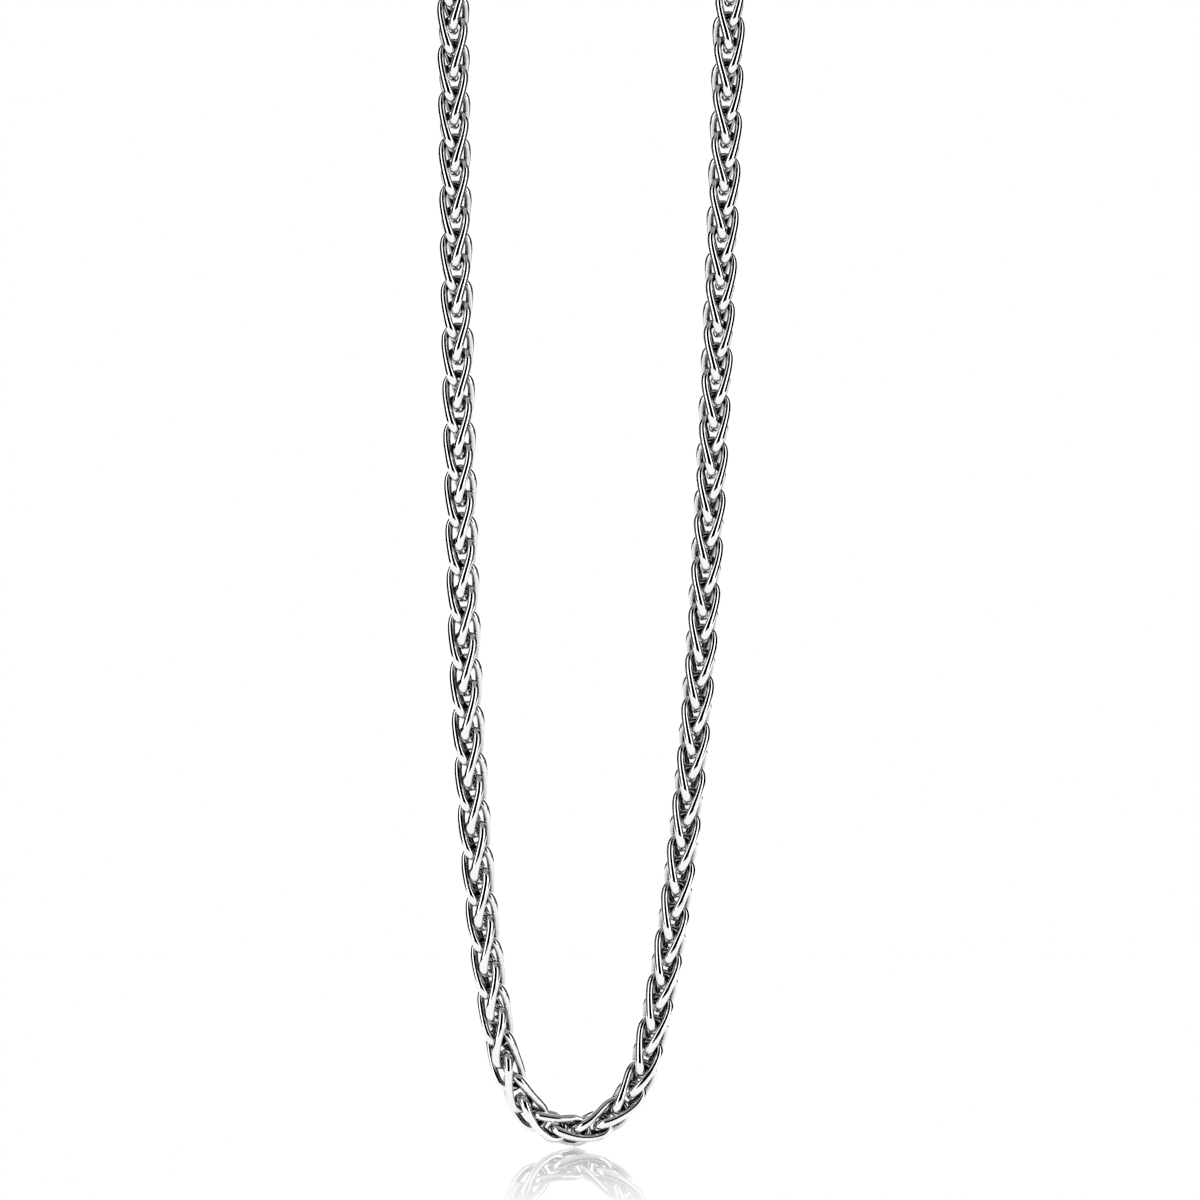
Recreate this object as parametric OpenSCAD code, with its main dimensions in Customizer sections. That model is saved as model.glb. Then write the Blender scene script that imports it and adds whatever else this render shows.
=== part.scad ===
// Wheat chain necklace: one closed loop of twisted, interlocking wire links, hung from its clasp.
// Millimetres. X runs to the wearer's left, Z up, and the front of the loop faces -Y.
// The origin is the underside of the clasp, where the loop hangs.

/* [Links] */
// Width of the chain over its legs
chain_w = 4.15; // [4.05:0.05:4.3]
// Diameter of the wire
wire_d = 0.92; // [0.8:0.01:0.95]
// Chain taken up by two links, tip to tip of one column
pitch = 5.7; // [5.6:0.05:6]
// Play between the end bar of a link and the start bar that hooks into it
hook_play = 0.5; // [0.4:0.01:0.6]
// Number of links
link_count = 151; // [145:2:157]
// Turn of a link from its start bar to its end bar, degrees
link_twist = 90; // [86:1:94]

/* [Clasp] */
// Chain line between the two bars that the clasp holds
clasp_span = 12.1; // [11:0.1:12.5]
// Diameter of the clasp's barrel
barrel_d = 4; // [3:0.1:4.4]
// Rounding of the barrel's rims
barrel_round = 0.6; // [0.2:0.1:0.9]
// Diameter of the wire of its eyes
eye_wire_d = 0.8; // [0.6:0.05:0.9]
// Clearance between an eye and the bar that it holds
eye_clear = 0.22; // [0.15:0.01:0.3]

/* [Hanging loop] */
// Bend radius of the two corners beside the clasp
corner_r = 8.5; // [7.5:0.5:8.5]
// Straight chain between the clasp and a corner
clasp_lead = 5.7; // [5:0.1:6.1]
// Turn of the corner above the left strand, degrees
left_corner_turn = 90.45; // [90:0.05:91.5]

/* [Hidden] */

// The part of the loop that hangs free, down the left strand and up the right one
// Column 0 is the length of a stretch, column 1 its turn in degrees
strand_rows = [
    [72, 1.05],
    [36, 3.6],
    [18, 5.3],
    [7.8, 20.9],
    [11.6, 96.1],
    [8.4, 38.3],
    [19, 6.8],
    [36, 4.05],
    [72, 2],
];

// How far the chain is rolled about its own line
// Column 0 is the distance from the clasp, column 1 the roll in degrees
roll_rows = [
    [90, 11],
    [101, 12],
    [137, 23],
    [172, 31],
    [199, 37],
    [206, 57],
    [217, 82],
    [240, 86],
    [253, 89],
    [287, 96],
    [323, 101],
    [345, 104],
];

// The links lie closer together round the bend
// Column 0 is the distance along an even chain, column 1 where the loop carries it
start_rows = [
    [0, 0],
    [172, 172],
    [206.5, 206],
    [241.5, 240],
    [292.4, 290],
    [500, 497.6],
];

// Proportions of a link's half outline, as shares of the leg radius
bar_half = 0.32;
shoulder_out = 0.97;
shoulder_along = 0.62;

// A link's wire has five flats, and this radius to its edges lies just outside the round wire
wire_sides = 5;
edge_r = 0.53 * wire_d;

leg_r = (chain_w - wire_d) / 2;
link_len = pitch + wire_d + hook_play;
advance = pitch / 2;
chain_len = link_start(link_count - 1) + link_len;
loop_len = chain_len + clasp_span;
left_count = ceil(link_count / 2);

function link_start(link) = lookup(link * advance, start_rows);

// Where the wire's centre line passes: column 0 across the link, column 1 along it
half_outline = [
    [bar_half * leg_r, 0],
    [shoulder_out * leg_r, shoulder_along * leg_r],
    [leg_r, link_len / 2],
    [shoulder_out * leg_r, link_len - shoulder_along * leg_r],
    [bar_half * leg_r, link_len],
];
half_steps = len(half_outline);
outline = concat(half_outline, [for (i = [half_steps - 1:-1:0]) [-half_outline[i][0], half_outline[i][1]]]);
steps = len(outline);

// Sums of the rows before each row of a list
function sums_before(v) = [for (i = 0, sum = v[0] * 0; i < len(v); sum = sum + v[i], i = i + 1) sum];
function total(v) = sums_before(concat(v, [v[0]]))[len(v)];
function column(rows, n) = [for (row = rows) row[n]];
function unit(v) = v / norm(v);
function direction(heading) = [cos(heading), sin(heading)];

// The step from the start of a curved stretch to its end, in X and Z
function stretch_step(length, heading, turn) =
    abs(turn) < 0.001 ? length * direction(heading)
    : length / (turn * PI / 180) * [sin(heading + turn) - sin(heading), cos(heading) - cos(heading + turn)];

// The loop starts at the clasp's left eye and runs to the left
start_heading = 180;
corner_len = corner_r * left_corner_turn * PI / 180;
right_corner_turn = 360 - left_corner_turn - total(column(strand_rows, 1));

// Three straights have the lengths that close the loop at its full length: the two strands above
// the free part, and the top. Each row here is a stretch with one of them left at nothing
open_rows = concat(
    [[clasp_lead, 0], [corner_len, left_corner_turn], [0, 0]],
    strand_rows,
    [[0, 0], [corner_len, right_corner_turn], [0, 0]]);
left_straight = 2;
right_straight = len(open_rows) - 3;
top_straight = len(open_rows) - 1;
headings = [for (sum = sums_before(column(open_rows, 1))) start_heading + sum];
open_steps = [for (i = [0:len(open_rows) - 1]) stretch_step(open_rows[i][0], headings[i], open_rows[i][1])];

function closing_column(i) = concat(direction(headings[i]), [1]);
closing_columns = [for (i = [left_straight, right_straight, top_straight]) closing_column(i)];
closing_target = concat(-total(open_steps), [loop_len - total(column(open_rows, 0))]);
function triple(a, b, c) = a * cross(b, c);
closing_det = triple(closing_columns[0], closing_columns[1], closing_columns[2]);
left_len = triple(closing_target, closing_columns[1], closing_columns[2]) / closing_det;
right_len = triple(closing_columns[0], closing_target, closing_columns[2]) / closing_det;
top_len = triple(closing_columns[0], closing_columns[1], closing_target) / closing_det;

lengths = [for (i = [0:len(open_rows) - 1])
    i == left_straight ? left_len : i == right_straight ? right_len : i == top_straight ? top_len
    : open_rows[i][0]];
turns = column(open_rows, 1);
starts = sums_before(lengths);
places = [for (sum = sums_before([for (i = [0:len(lengths) - 1]) stretch_step(lengths[i], headings[i], turns[i])]))
    [-clasp_span / 2, barrel_d / 2] + sum];

// The loop's line at a distance from the clasp: its stretch, heading and place in X and Z
function stretch_at(s) = max([for (i = [0:len(starts) - 1]) if (starts[i] <= s) i]);
function turn_to(s, i) = turns[i] * (s - starts[i]) / lengths[i];
function heading_at(s) = let (i = stretch_at(s)) headings[i] + turn_to(s, i);
function place_at(s) = let (i = stretch_at(s)) places[i] + stretch_step(s - starts[i], headings[i], turn_to(s, i));

// From chain coordinates, two across and the distance along, to the loop's own place
function across_1(s) =
    let (heading = heading_at(s), roll = lookup(s, roll_rows))
    [-sin(heading) * cos(roll), -sin(roll), cos(heading) * cos(roll)];
function across_2(s) =
    let (heading = heading_at(s), roll = lookup(s, roll_rows))
    [sin(heading) * sin(roll), -cos(roll), -cos(heading) * sin(roll)];
function along(s) = let (heading = heading_at(s)) [cos(heading), 0, sin(heading)];
function laid(v, s) = v[0] * across_1(s) + v[1] * across_2(s) + v[2] * along(s);
function on_loop(v) =
    let (place = place_at(v[2]))
    [place[0], 0, place[1]] + v[0] * across_1(v[2]) + v[1] * across_2(v[2]);

// A link turns by link_twist from its start to its end, odd links the other way round
function hand(link) = link % 2 == 0 ? 1 : -1;
function twist_at(link, j) = hand(link) * link_twist * outline[j][1] / link_len;
function wire_centre(link, j) =
    let (twist = twist_at(link, j))
    [outline[j][0] * cos(twist), outline[j][0] * sin(twist), link_start(link) + outline[j][1]];
function wire_section(link, j) =
    let (
        centre = wire_centre(link, j),
        ahead = unit(wire_centre(link, (j + 1) % steps) - centre),
        behind = unit(centre - wire_centre(link, (j + steps - 1) % steps)),
        run = unit(ahead + behind),
        twist = twist_at(link, j),
        flat = [-sin(twist), cos(twist), 0],
        side = unit(flat - (flat * run) * run),
        inner = cross(run, side)
    )
    [for (k = [0:wire_sides - 1])
        let (angle = 360 * k / wire_sides - 90)
        on_loop(centre) + edge_r * laid(cos(angle) * side + sin(angle) * inner, centre[2])];

function section_faces(base, j) =
    let (here = base + j * wire_sides, next = base + ((j + 1) % steps) * wire_sides)
    [for (k = [0:wire_sides - 1])
        let (m = (k + 1) % wire_sides)
        each [[here + k, next + k, next + m], [here + k, next + m, here + m]]];

module links(first, last) {
    polyhedron(
        points = [for (link = [first:last]) for (j = [0:steps - 1]) each wire_section(link, j)],
        faces = [for (n = [0:last - first]) for (j = [0:steps - 1]) each section_faces(n * steps * wire_sides, j)]);
}

module chain_left() {
    color("silver") links(0, left_count - 1);
}

module chain_right() {
    color("silver") links(left_count, link_count - 1);
}

// An eye stands round its bar: turned about X from lying flat round an upright bar
eye_r = (wire_d + eye_wire_d) / 2 + eye_clear;

module eye(x, bar) {
    translate([x, 0, barrel_d / 2])
        rotate([-atan2(bar[1], bar[2]), 0, 0])
            rotate_extrude($fn = 48)
                translate([eye_r, 0])
                    circle(d = eye_wire_d, $fn = 24);
}

module barrel() {
    barrel_len = clasp_span - 2 * eye_r;
    core_r = barrel_d / 2 - barrel_round;
    translate([-barrel_len / 2, 0, barrel_d / 2])
        rotate([0, 90, 0])
            rotate_extrude($fn = 64) {
                square([core_r, barrel_len]);
                translate([0, barrel_round]) square([barrel_d / 2, barrel_len - 2 * barrel_round]);
                for (y = [barrel_round, barrel_len - barrel_round])
                    translate([core_r, y]) circle(r = barrel_round, $fn = 32);
            }
}

module clasp() {
    color("silver") {
        barrel();
        eye(-clasp_span / 2, across_1(0));
        eye(clasp_span / 2, across_2(chain_len));
    }
}

chain_left();
chain_right();
clasp();
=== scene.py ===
import math

import bmesh
import bpy
from mathutils import Matrix, Vector


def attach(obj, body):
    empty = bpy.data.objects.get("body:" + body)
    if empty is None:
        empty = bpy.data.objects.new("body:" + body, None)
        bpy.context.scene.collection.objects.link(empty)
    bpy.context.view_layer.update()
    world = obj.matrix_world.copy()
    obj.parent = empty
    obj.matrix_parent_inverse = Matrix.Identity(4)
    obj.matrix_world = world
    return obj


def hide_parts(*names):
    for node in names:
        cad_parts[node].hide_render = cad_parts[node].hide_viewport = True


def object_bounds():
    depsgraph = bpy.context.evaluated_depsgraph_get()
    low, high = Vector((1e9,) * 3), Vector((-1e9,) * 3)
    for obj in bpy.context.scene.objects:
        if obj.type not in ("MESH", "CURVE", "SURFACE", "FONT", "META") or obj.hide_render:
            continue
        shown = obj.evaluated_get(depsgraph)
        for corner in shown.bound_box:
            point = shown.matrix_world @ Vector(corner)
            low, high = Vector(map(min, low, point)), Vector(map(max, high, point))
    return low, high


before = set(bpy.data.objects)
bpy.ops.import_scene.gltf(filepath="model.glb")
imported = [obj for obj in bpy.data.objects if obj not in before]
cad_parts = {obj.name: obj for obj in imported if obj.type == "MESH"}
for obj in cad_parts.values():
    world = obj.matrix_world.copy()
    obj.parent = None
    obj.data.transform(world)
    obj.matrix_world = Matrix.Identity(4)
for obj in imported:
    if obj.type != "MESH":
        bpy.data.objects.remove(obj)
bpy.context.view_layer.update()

mm = 0.001
print("frame loaded, nodes:", ", ".join(sorted(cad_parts)))

# the line that the chain hangs in, in millimetres and degrees
loop = {
    "claspSpan": 12.1,
    "lineHeight": 2.0,              # chain line above the hanging point, at the clasp
    "claspLead": 5.7,
    "cornerRadius": 8.5,
    "leftCornerTurn": 90.45,
    "straightTurn": 0.001,          # a stretch that turns by less is straight
    "strandRows": [                 # length and turn of each stretch, down the left and up the right
        (72, 1.05), (36, 3.6), (18, 5.3), (7.8, 20.9), (11.6, 96.1),
        (8.4, 38.3), (19, 6.8), (36, 4.05), (72, 2),
    ],
    "rollRows": [                   # distance from the clasp, and how far the chain is rolled there
        (90, 11), (101, 12), (137, 23), (172, 31), (199, 37), (206, 57),
        (217, 82), (240, 86), (253, 89), (287, 96), (323, 101), (345, 104),
    ],
    "startRows": [                  # the links lie closer together round the bend: even chain, and loop
        (0, 0), (172, 172), (206.5, 206), (241.5, 240), (292.4, 290), (500, 497.6),
    ],
}

# one link, in millimetres: a long oval of round wire, twisted a quarter turn
link = {
    "count": 151,
    "leftCount": 76,
    "chainWidth": 4.08,
    "wire": 0.92,
    "pitch": 5.7,
    "play": 0.5,
    "twist": 90.0,
    "wireSides": 6,
    "smooth": 2,
    "sections": ((1.1, 1.2), (1.2, 1.12), (1.15, 1.02), (1, 1)),  # wire's breadth and depth, bar to leg
    "waveDepth": 0.03,
    "waveLength": 1.6,
    "smoothingPull": 1 / 6,         # how far smoothing draws a line in, as a share of its bend
    "smoothingLoss": 0.965,         # what the twist and the smoothing take off the wire besides
    "innerShade": 0.85,             # how much painted shade darkens the wire's inner side, and the middle of the chain
    "middleShade": 1.5,
    "middleDepth": 0.45,
}
legRadius = (link["chainWidth"] - link["wire"]) / 2
linkLength = link["pitch"] + link["wire"] + link["play"]
advance = link["pitch"] / 2


def lookUp(rows, x):
    if x <= rows[0][0]:
        return rows[0][1]
    for (x0, y0), (x1, y1) in zip(rows, rows[1:]):
        if x <= x1:
            return y0 + (y1 - y0) * (x - x0) / (x1 - x0)
    return rows[-1][1]


def linkStart(number):
    return lookUp(loop["startRows"], number * advance)


chainLength = linkStart(link["count"] - 1) + linkLength
loopLength = chainLength + loop["claspSpan"]


def stretchStep(length, heading, turn):
    if abs(turn) < loop["straightTurn"]:
        return Vector((length * math.cos(heading), length * math.sin(heading)))
    radius = length / math.radians(turn)
    end = heading + math.radians(turn)
    return radius * Vector((math.sin(end) - math.sin(heading), math.cos(heading) - math.cos(end)))


def layOutLoop():
    # three straights take the lengths that close the loop: above the two strands, and the top
    corner = loop["cornerRadius"] * math.radians(loop["leftCornerTurn"])
    rightTurn = 360 - loop["leftCornerTurn"] - sum(turn for length, turn in loop["strandRows"])
    leftTop = [(loop["claspLead"], 0), (corner, loop["leftCornerTurn"]), (0, 0)]
    rightTop = [(0, 0), (corner, rightTurn), (0, 0)]
    rows = leftTop + loop["strandRows"] + rightTop
    openRows = (len(leftTop) - 1, len(rows) - len(rightTop), len(rows) - 1)
    headings, gap, spare = [], Vector((0, 0)), loopLength
    heading = math.pi
    for length, turn in rows:
        headings.append(heading)
        gap -= stretchStep(length, heading, turn)
        spare -= length
        heading += math.radians(turn)
    columns = Matrix([(math.cos(headings[i]), math.sin(headings[i]), 1) for i in openRows]).transposed()
    for i, length in zip(openRows, columns.inverted() @ Vector((gap.x, gap.y, spare))):
        rows[i] = (length, 0)
    stretches, start = [], 0
    place = Vector((-loop["claspSpan"] / 2, loop["lineHeight"]))
    for (length, turn), heading in zip(rows, headings):
        stretches.append((start, place.copy(), heading, length, turn))
        place += stretchStep(length, heading, turn)
        start += length
    return stretches, stretches[len(leftTop)][1]


stretches, leftStrandTop = layOutLoop()


def loopFrame(s):
    # the chain's own axes at a distance from the clasp: two across it, and Z along it
    start, place, heading, length, turn = [row for row in stretches if row[0] <= max(s, 0)][-1]
    turned = turn * (s - start) / length
    place = place + stretchStep(s - start, heading, turned)
    heading += math.radians(turned)
    roll = math.radians(lookUp(loop["rollRows"], s))
    inward = Vector((-math.sin(heading), 0, math.cos(heading)))
    front = Vector((0, -1, 0))
    across1 = inward * math.cos(roll) + front * math.sin(roll)
    across2 = front * math.cos(roll) - inward * math.sin(roll)
    along = Vector((math.cos(heading), 0, math.sin(heading)))
    turnMatrix = Matrix((across1, across2, along)).transposed().to_4x4()
    return Matrix.Translation((place.x, 0, place.y)) @ turnMatrix


def linkOutline():
    # across and along, once round the link, wider than the wire's line by what smoothing takes off
    turns = (0, math.pi / 4, math.pi / 2)
    bar = [(math.sin(turn) * legRadius, (1 - math.cos(turn)) * legRadius) for turn in turns]
    half = bar + [(legRadius, linkLength / 2)]
    half += [(across, linkLength - along) for across, along in reversed(bar)]
    line = [Vector(p) for p in half] + [Vector((-across, along)) for across, along in half[-2:0:-1]]
    wider = []
    for i, point in enumerate(line):
        bend = line[i - 1] - 2 * point + line[(i + 1) % len(line)]
        wider.append(point - bend * link["smoothingPull"])
    return wider


outline = linkOutline()
ringBend = 2 - 2 * math.cos(2 * math.pi / link["wireSides"])
ringShrink = (1 - ringBend * link["smoothingPull"]) * link["smoothingLoss"]
halfSections = link["sections"] + link["sections"][-2::-1]
sections = halfSections + halfSections[-2:0:-1]


def wireCentre(number, j):
    across, along = outline[j % len(outline)]
    hand = 1 if number % 2 == 0 else -1
    twist = hand * math.radians(link["twist"]) * along / linkLength
    return Vector((across * math.cos(twist), across * math.sin(twist), along)), twist


def sectionMatrix(number, j):
    centre, twist = wireCentre(number, j)
    ahead = (wireCentre(number, j + 1)[0] - centre).normalized()
    behind = (centre - wireCentre(number, j - 1)[0]).normalized()
    run = (ahead + behind).normalized()
    flat = Vector((-math.sin(twist), math.cos(twist), 0))
    side = (flat - flat.dot(run) * run).normalized()
    turnMatrix = Matrix((side, run.cross(side), run)).transposed().to_4x4()
    breadth, thickness = sections[j % len(outline)]
    broad = Matrix.Diagonal((breadth, thickness, 1, 1))
    onChain = Matrix.Translation((centre.x, centre.y, 0)) @ turnMatrix @ broad
    return loopFrame(linkStart(number) + centre.z) @ onChain, centre


def addLink(bm, paintedShadeLayer, number):
    # a ring of wire is drawn once round the outline, and its last section joined to its first
    ringRadius = link["wire"] / 2 / ringShrink
    for j in range(len(outline)):
        place, centre = sectionMatrix(number, j)
        if j == 0:
            sides = link["wireSides"]
            ring = bmesh.ops.create_circle(bm, segments=sides, radius=ringRadius, matrix=place)["verts"]
            first = last = bm.edges[:]
        else:
            made = bmesh.ops.extrude_edge_only(bm, edges=last)["geom"]
            ring = [g for g in made if isinstance(g, bmesh.types.BMVert)]
            last = [g for g in made if isinstance(g, bmesh.types.BMEdge)]
            bmesh.ops.transform(bm, matrix=place @ before.inverted(), verts=ring)
        before = place
        # painted shade: each vertex's colour is darkened on the wire's side that faces into the chain,
        # and more near the chain's middle line, where real shade and dark reflections would fall
        line = loopFrame(linkStart(number) + centre.z)
        for v in ring:
            inner = (place.inverted() @ v.co).y / ringRadius
            paintedShadeDepth = 1 - (v.co - line.translation).length / (link["chainWidth"] / 2)
            shade = max(0, inner) * link["innerShade"]
            shade += max(0, paintedShadeDepth - link["middleDepth"]) * link["middleShade"]
            v[paintedShadeLayer] = min(1, shade)
    bmesh.ops.bridge_loops(bm, edges=first + last)


# drawn and bent wire isn't quite even
drawnWaves = bpy.data.textures.new("drawnWaves", "CLOUDS")
drawnWaves.noise_scale = link["waveLength"] * mm


def buildChain(name, node, numbers):
    joined = bmesh.new()
    oneLink = bpy.data.meshes.new("oneLink")
    for number in numbers:
        bm = bmesh.new()
        # the attribute that carries each vertex's painted shade
        paintedShadeLayer = bm.verts.layers.float.new("paintedShadeDepth")
        addLink(bm, paintedShadeLayer, number)
        bmesh.ops.recalc_face_normals(bm, faces=bm.faces[:])
        bm.to_mesh(oneLink)
        bm.free()
        joined.from_mesh(oneLink)
    bpy.data.meshes.remove(oneLink)
    bmesh.ops.scale(joined, vec=(mm, mm, mm), verts=joined.verts[:])
    for face in joined.faces:
        face.smooth = True
    mesh = bpy.data.meshes.new(name)
    joined.to_mesh(mesh)
    joined.free()
    piece = bpy.data.objects.new(name, mesh)
    bpy.context.scene.collection.objects.link(piece)
    rounded = piece.modifiers.new("rounded", "SUBSURF")
    rounded.levels = rounded.render_levels = link["smooth"]
    waves = piece.modifiers.new("waves", "DISPLACE")
    waves.texture = drawnWaves
    waves.texture_coords = "LOCAL"
    waves.strength = link["waveDepth"] * mm
    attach(piece, "root")
    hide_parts(node)
    print(name, "has", len(numbers), "links")
    return piece


def newMaterial(name):
    material = bpy.data.materials.new(name)
    material.use_nodes = True
    nodes = material.node_tree.nodes
    return material, nodes, material.node_tree.links, nodes["Principled BSDF"]


silver = {
    # bright silver is the metal's own colour; the near-black colour is painted shade for the chain's
    # inner parts, blended in over the given share of the shade attribute
    "bright": (0.93, 0.93, 0.94, 1),
    "paintedShade": (0.04, 0.04, 0.043, 1),
    "paintedShadeRamp": (0.08, 0.68),
    "roughness": (0.01, 0.03),
    "markScale": 900.0,
    "markStrength": 0.05,
    "markDepth": 0.05,
}


def markSurface(nodes, wires, shader, finish):
    # fine marks that the polish leaves, in the roughness and the relief
    place = nodes.new("ShaderNodeTexCoord")
    marks = nodes.new("ShaderNodeTexNoise")
    marks.inputs["Scale"].default_value = finish["markScale"]
    wires.new(place.outputs["Object"], marks.inputs["Vector"])
    polish = nodes.new("ShaderNodeMapRange")
    polish.inputs["To Min"].default_value = finish["roughness"][0]
    polish.inputs["To Max"].default_value = finish["roughness"][1]
    wires.new(marks.outputs["Fac"], polish.inputs["Value"])
    wires.new(polish.outputs["Result"], shader.inputs["Roughness"])
    bump = nodes.new("ShaderNodeBump")
    bump.inputs["Strength"].default_value = finish["markStrength"]
    bump.inputs["Distance"].default_value = finish["markDepth"] * mm
    wires.new(marks.outputs["Fac"], bump.inputs["Height"])
    wires.new(bump.outputs["Normal"], shader.inputs["Normal"])


def makeSilver():
    material, nodes, wires, shader = newMaterial("polishedSilver")
    shader.inputs["Metallic"].default_value = 1.0
    paintedShadeDepth = nodes.new("ShaderNodeAttribute")
    paintedShadeDepth.attribute_name = "paintedShadeDepth"
    # painted shade: the base colour runs from bright silver to near black as the vertex's shade value
    # rises
    ramp = nodes.new("ShaderNodeValToRGB")
    ramp.color_ramp.elements[0].position = silver["paintedShadeRamp"][0]
    ramp.color_ramp.elements[0].color = silver["bright"]
    ramp.color_ramp.elements[1].position = silver["paintedShadeRamp"][1]
    ramp.color_ramp.elements[1].color = silver["paintedShade"]
    wires.new(paintedShadeDepth.outputs["Fac"], ramp.inputs["Fac"])
    wires.new(ramp.outputs["Color"], shader.inputs["Base Color"])
    markSurface(nodes, wires, shader, silver)
    return material


chainSilver = makeSilver()
leftChain = buildChain("links_left", "chain_left", range(link["leftCount"]))
rightChain = buildChain("links_right", "chain_right", range(link["leftCount"], link["count"]))
for chain in (leftChain, rightChain):
    chain.data.materials.append(chainSilver)

# the clasp, in millimetres: a turned barrel with an eye at each end, behind the neck
clasp = {
    "seam": [                       # distance from the barrel's middle, and radius there
        (0.04, 1.84), (0.1, 1.84), (0.16, 1.96),
    ],
    "end": [                        # distance from the barrel's end, and radius there
        (2.1, 1.97), (2.05, 1.84), (1.93, 1.84), (1.88, 1.97), (1.55, 1.97), (1.5, 1.84), (1.38, 1.84),
        (1.33, 1.97), (0.62, 1.96), (0.42, 1.9), (0.25, 1.77), (0.12, 1.58), (0.04, 1.34), (0.0, 1.05),
        (-0.12, 0.98), (-0.17, 0.8), (-0.17, 0),
    ],
    "steps": 72,
    "eyeWire": 0.76,
    "eyeRadius": 1.08,
    "eyeSides": 16,
    "eyeSteps": 36,
    "endGap": 0.19,                 # from the line of an eye's wire to the barrel's end
    "mergeDistance": 0.001,
    "sharpAngle": 40.0,
    "silver": (0.87, 0.87, 0.88, 1),
    "roughness": (0.2, 0.3),
    "markScale": 700.0,
    "markStrength": 0.04,
    "markDepth": 0.05,
}


def spinRound(bm, points, axis, steps, closed):
    verts = [bm.verts.new(p) for p in points]
    edges = [bm.edges.new(pair) for pair in zip(verts, verts[1:] + verts[:1] if closed else verts[1:])]
    bmesh.ops.spin(bm, geom=verts + edges, cent=(0, 0, 0), axis=axis, angle=2 * math.pi, steps=steps,
                   use_merge=True)


def addEye(bm, x, bar):
    part = bmesh.new()
    sides, wireRadius = clasp["eyeSides"], clasp["eyeWire"] / 2
    ring = [2 * math.pi * k / sides for k in range(sides)]
    points = [(clasp["eyeRadius"] + wireRadius * math.cos(a), 0, wireRadius * math.sin(a)) for a in ring]
    spinRound(part, points, (0, 0, 1), clasp["eyeSteps"], True)
    turned = Vector((0, 0, 1)).rotation_difference(bar).to_matrix().to_4x4()
    place = Matrix.Translation((x, 0, loop["lineHeight"])) @ turned
    bmesh.ops.transform(part, matrix=place, verts=part.verts[:])
    mesh = bpy.data.meshes.new("eye")
    part.to_mesh(mesh)
    part.free()
    bm.from_mesh(mesh)
    bpy.data.meshes.remove(mesh)


def makeClasp():
    bm = bmesh.new()
    end = loop["claspSpan"] / 2 - clasp["eyeRadius"] - clasp["endGap"]
    half = clasp["seam"] + [(end - inward, radius) for inward, radius in clasp["end"]]
    points = [(-x, 0, radius) for x, radius in reversed(half)] + [(x, 0, radius) for x, radius in half]
    spinRound(bm, points, (1, 0, 0), clasp["steps"], False)
    bmesh.ops.translate(bm, vec=(0, 0, loop["lineHeight"]), verts=bm.verts[:])
    addEye(bm, -loop["claspSpan"] / 2, loopFrame(0).to_3x3() @ Vector((1, 0, 0)))
    addEye(bm, loop["claspSpan"] / 2, loopFrame(chainLength).to_3x3() @ Vector((0, 1, 0)))
    bmesh.ops.remove_doubles(bm, verts=bm.verts[:], dist=clasp["mergeDistance"])
    bmesh.ops.recalc_face_normals(bm, faces=bm.faces[:])
    bmesh.ops.scale(bm, vec=(mm, mm, mm), verts=bm.verts[:])
    for face in bm.faces:
        face.smooth = True
    mesh = bpy.data.meshes.new("barrel_clasp")
    bm.to_mesh(mesh)
    bm.free()
    mesh.set_sharp_from_angle(angle=math.radians(clasp["sharpAngle"]))
    piece = bpy.data.objects.new("barrel_clasp", mesh)
    bpy.context.scene.collection.objects.link(piece)
    material, nodes, wires, shader = newMaterial("claspSilver")
    shader.inputs["Metallic"].default_value = 1.0
    shader.inputs["Base Color"].default_value = clasp["silver"]
    markSurface(nodes, wires, shader, clasp)
    mesh.materials.append(material)
    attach(piece, "root")
    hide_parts("clasp")
    print("clasp built")


makeClasp()

# camera: the photo's frame is taken at the chain's own plane
photo = {
    "size": 1200,                   # pixels
    "mmPerPixel": 0.1205,
    "leftStrandTop": (453.2, 0),    # where the left strand's line crosses the photo's top edge
    "distance": 750.0,              # millimetres
    "clipStart": 10.0,
}
centreX = leftStrandTop.x + (photo["size"] / 2 - photo["leftStrandTop"][0]) * photo["mmPerPixel"]
centreZ = leftStrandTop.y - (photo["size"] / 2 - photo["leftStrandTop"][1]) * photo["mmPerPixel"]
camera = bpy.data.cameras.new("camera")
camera.lens = camera.sensor_width * photo["distance"] / (photo["size"] * photo["mmPerPixel"])
camera.clip_start = photo["clipStart"] * mm
cameraObject = bpy.data.objects.new("camera", camera)
cameraObject.location = (centreX * mm, -photo["distance"] * mm, centreZ * mm)
cameraObject.rotation_euler = (math.pi / 2, 0, 0)
bpy.context.scene.collection.objects.link(cameraObject)
bpy.context.scene.camera = cameraObject

# studio: a white room that the wire reflects, with a dark card in front, dark flags at the
# sides and a dark ceiling. Widths and heights are shares of the way to the room's wall
studio = {
    "floorSize": 400,               # millimetres
    "floorGap": 0.05,               # between the floor and the lowest link
    "floorMirror": (0.62, 0.1),     # how much the floor mirrors, under the chain and further out
    "floorFade": (2, 69),           # how far out, in millimetres
    "room": 2.05,                   # how bright it is
    "cardHalfWidth": 0.56,
    "cardHalfHeight": 0.7,
    "flagStops": [                  # share of the way from the front to the back, and what a flag leaves
        (0.0, 1.0), (0.34, 1.0), (0.37, 0.0), (0.82, 0.0), (0.84, 1.0), (0.94, 1.0), (0.965, 0.0),
    ],
    "flagHalfHeight": 0.75,
    "ceilingFrom": 0.68,            # how steeply up the dark ceiling starts
    "ceiling": 0.15,                # the light that it leaves
    "softEdge": 0.05,
    "paperDepth": 3.5,              # the floor mirrors plain white, up to this ray depth
}


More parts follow.
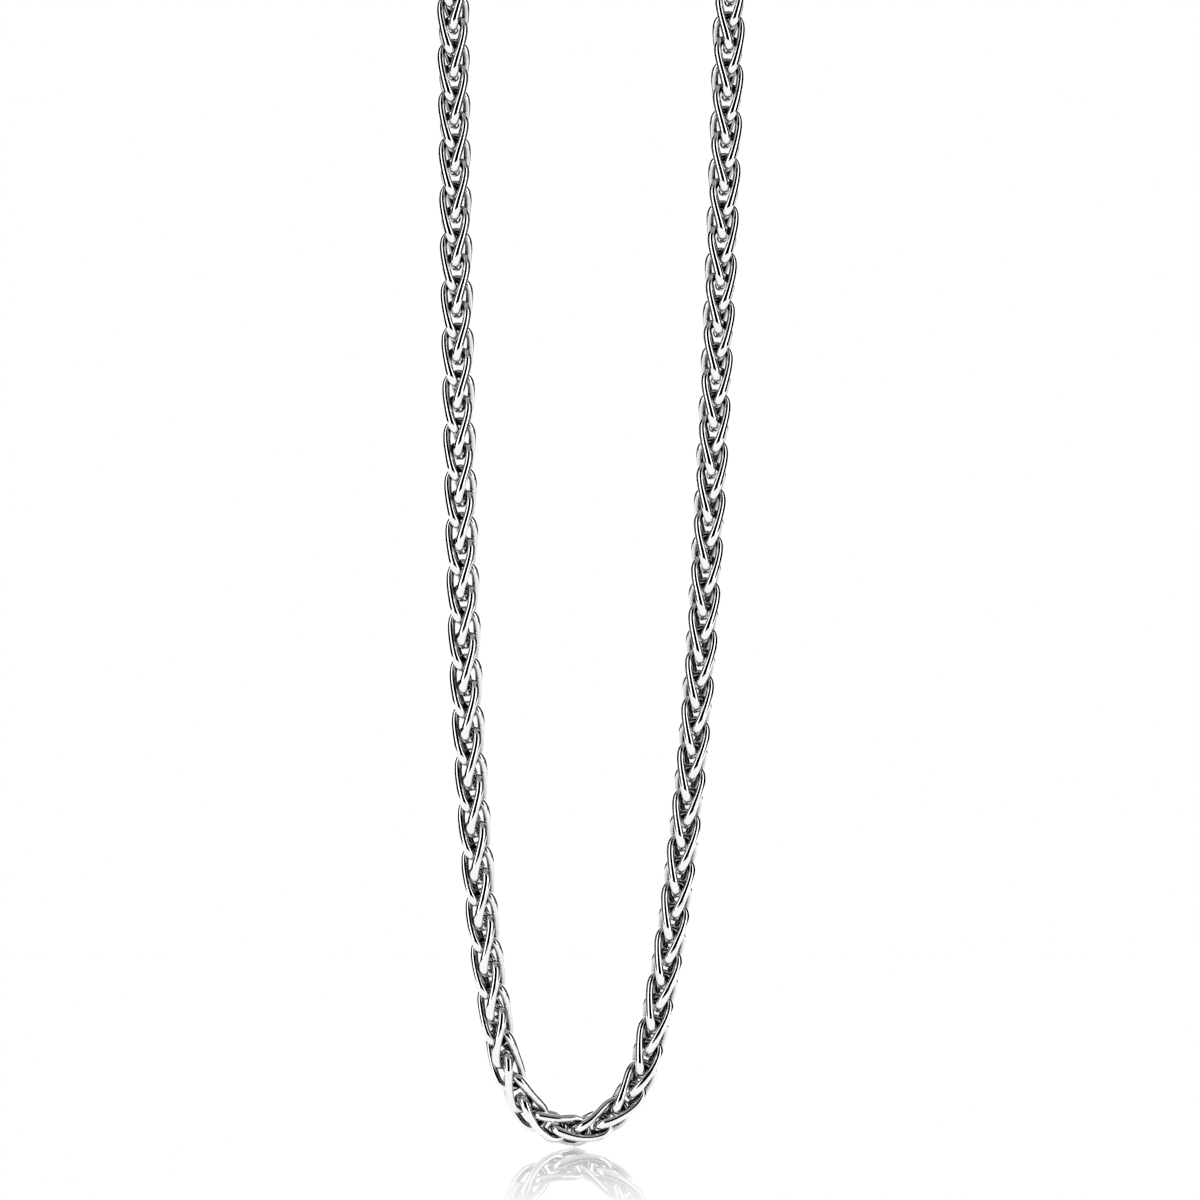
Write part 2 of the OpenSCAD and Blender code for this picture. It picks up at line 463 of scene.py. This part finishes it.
def makeWorld():
    world = bpy.data.worlds.new("studio")
    world.use_nodes = True
    nodes, wires = world.node_tree.nodes, world.node_tree.links
    nodes.clear()

    def maths(operation, *values):
        node = nodes.new("ShaderNodeMath")
        node.operation = operation
        for socket, value in zip(node.inputs, values):
            if isinstance(value, (int, float)):
                socket.default_value = value
            else:
                wires.new(value, socket)
        return node.outputs[0]

    def inside(value, half):
        # 1 within the half width, 0 beyond it, with a soft edge
        edge = nodes.new("ShaderNodeMapRange")
        edge.interpolation_type = "SMOOTHSTEP"
        edge.inputs["From Min"].default_value = half - studio["softEdge"] / 2
        edge.inputs["From Max"].default_value = half + studio["softEdge"] / 2
        edge.inputs["To Min"].default_value = 1
        edge.inputs["To Max"].default_value = 0
        wires.new(maths("ABSOLUTE", value), edge.inputs["Value"])
        return edge.outputs["Result"]

    place = nodes.new("ShaderNodeTexCoord")
    parts = nodes.new("ShaderNodeSeparateXYZ")
    wires.new(place.outputs["Generated"], parts.inputs["Vector"])
    front = maths("MULTIPLY", parts.outputs["Y"], -1)
    turn = maths("ARCTAN2", maths("ABSOLUTE", parts.outputs["X"]), front)
    ramp = nodes.new("ShaderNodeValToRGB")
    elements = ramp.color_ramp.elements
    for stop in studio["flagStops"][len(elements):]:
        elements.new(stop[0])
    for element, (position, level) in zip(elements, studio["flagStops"]):
        element.position = position
        element.color = (level, level, level, 1)
    wires.new(maths("DIVIDE", turn, math.pi), ramp.inputs["Fac"])
    flags = maths("MULTIPLY", maths("SUBTRACT", 1, ramp.outputs["Color"]),
                  inside(parts.outputs["Z"], studio["flagHalfHeight"]))
    card = maths("MULTIPLY", inside(parts.outputs["X"], studio["cardHalfWidth"]),
                 inside(parts.outputs["Z"], studio["cardHalfHeight"]))
    card = maths("MULTIPLY", card, maths("GREATER_THAN", front, 0))
    shade = maths("MULTIPLY", maths("SUBTRACT", 1, flags), maths("SUBTRACT", 1, card))
    shade = maths("MULTIPLY", shade, studio["room"])
    above = maths("SUBTRACT", 1, inside(parts.outputs["Z"], studio["ceilingFrom"]))
    above = maths("MULTIPLY", above, maths("GREATER_THAN", parts.outputs["Z"], 0))
    left = maths("SUBTRACT", 1, maths("MULTIPLY", above, 1 - studio["ceiling"]))
    shade = maths("MULTIPLY", shade, left)
    seen = nodes.new("ShaderNodeLightPath")
    room = nodes.new("ShaderNodeBackground")
    wires.new(shade, room.inputs["Color"])
    paper = nodes.new("ShaderNodeBackground")
    paper.inputs["Color"].default_value = (1, 1, 1, 1)
    mix = nodes.new("ShaderNodeMixShader")
    shallow = maths("LESS_THAN", seen.outputs["Ray Depth"], studio["paperDepth"])
    inFloor = maths("MULTIPLY", seen.outputs["Is Singular Ray"], shallow)
    wires.new(maths("MAXIMUM", seen.outputs["Is Camera Ray"], inFloor), mix.inputs["Fac"])
    wires.new(room.outputs["Background"], mix.inputs[1])
    wires.new(paper.outputs["Background"], mix.inputs[2])
    output = nodes.new("ShaderNodeOutputWorld")
    wires.new(mix.outputs["Shader"], output.inputs["Surface"])
    bpy.context.scene.world = world


def makeFloor():
    # a sharp mirror under a white glow, so that only the chain shows in it
    low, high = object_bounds()
    level = low[2] - studio["floorGap"] * mm
    bm = bmesh.new()
    bmesh.ops.create_grid(bm, x_segments=1, y_segments=1, size=studio["floorSize"] * mm)
    bmesh.ops.translate(bm, vec=(0, 0, level), verts=bm.verts[:])
    mesh = bpy.data.meshes.new("floor")
    bm.to_mesh(mesh)
    bm.free()
    floor = bpy.data.objects.new("floor", mesh)
    bpy.context.scene.collection.objects.link(floor)
    material, nodes, wires, shader = newMaterial("whiteAcrylic")
    nodes.remove(shader)
    place = nodes.new("ShaderNodeTexCoord")
    distance = nodes.new("ShaderNodeVectorMath")
    distance.operation = "DISTANCE"
    distance.inputs[1].default_value = ((low[0] + high[0]) / 2, 0, level)
    wires.new(place.outputs["Object"], distance.inputs[0])
    fade = nodes.new("ShaderNodeMapRange")
    fade.inputs["From Min"].default_value = studio["floorFade"][0] * mm
    fade.inputs["From Max"].default_value = studio["floorFade"][1] * mm
    fade.inputs["To Min"].default_value = studio["floorMirror"][0]
    fade.inputs["To Max"].default_value = studio["floorMirror"][1]
    wires.new(distance.outputs["Value"], fade.inputs["Value"])
    mirror = nodes.new("ShaderNodeBsdfAnisotropic")
    mirror.inputs["Color"].default_value = (1, 1, 1, 1)
    mirror.inputs["Roughness"].default_value = 0.0
    glow = nodes.new("ShaderNodeEmission")
    mix = nodes.new("ShaderNodeMixShader")
    wires.new(fade.outputs["Result"], mix.inputs["Fac"])
    wires.new(glow.outputs["Emission"], mix.inputs[1])
    wires.new(mirror.outputs["BSDF"], mix.inputs[2])
    wires.new(mix.outputs["Shader"], nodes["Material Output"].inputs["Surface"])
    mesh.materials.append(material)


makeWorld()
makeFloor()
bpy.context.scene.view_settings.view_transform = "Standard"
print("camera, world and floor are set")
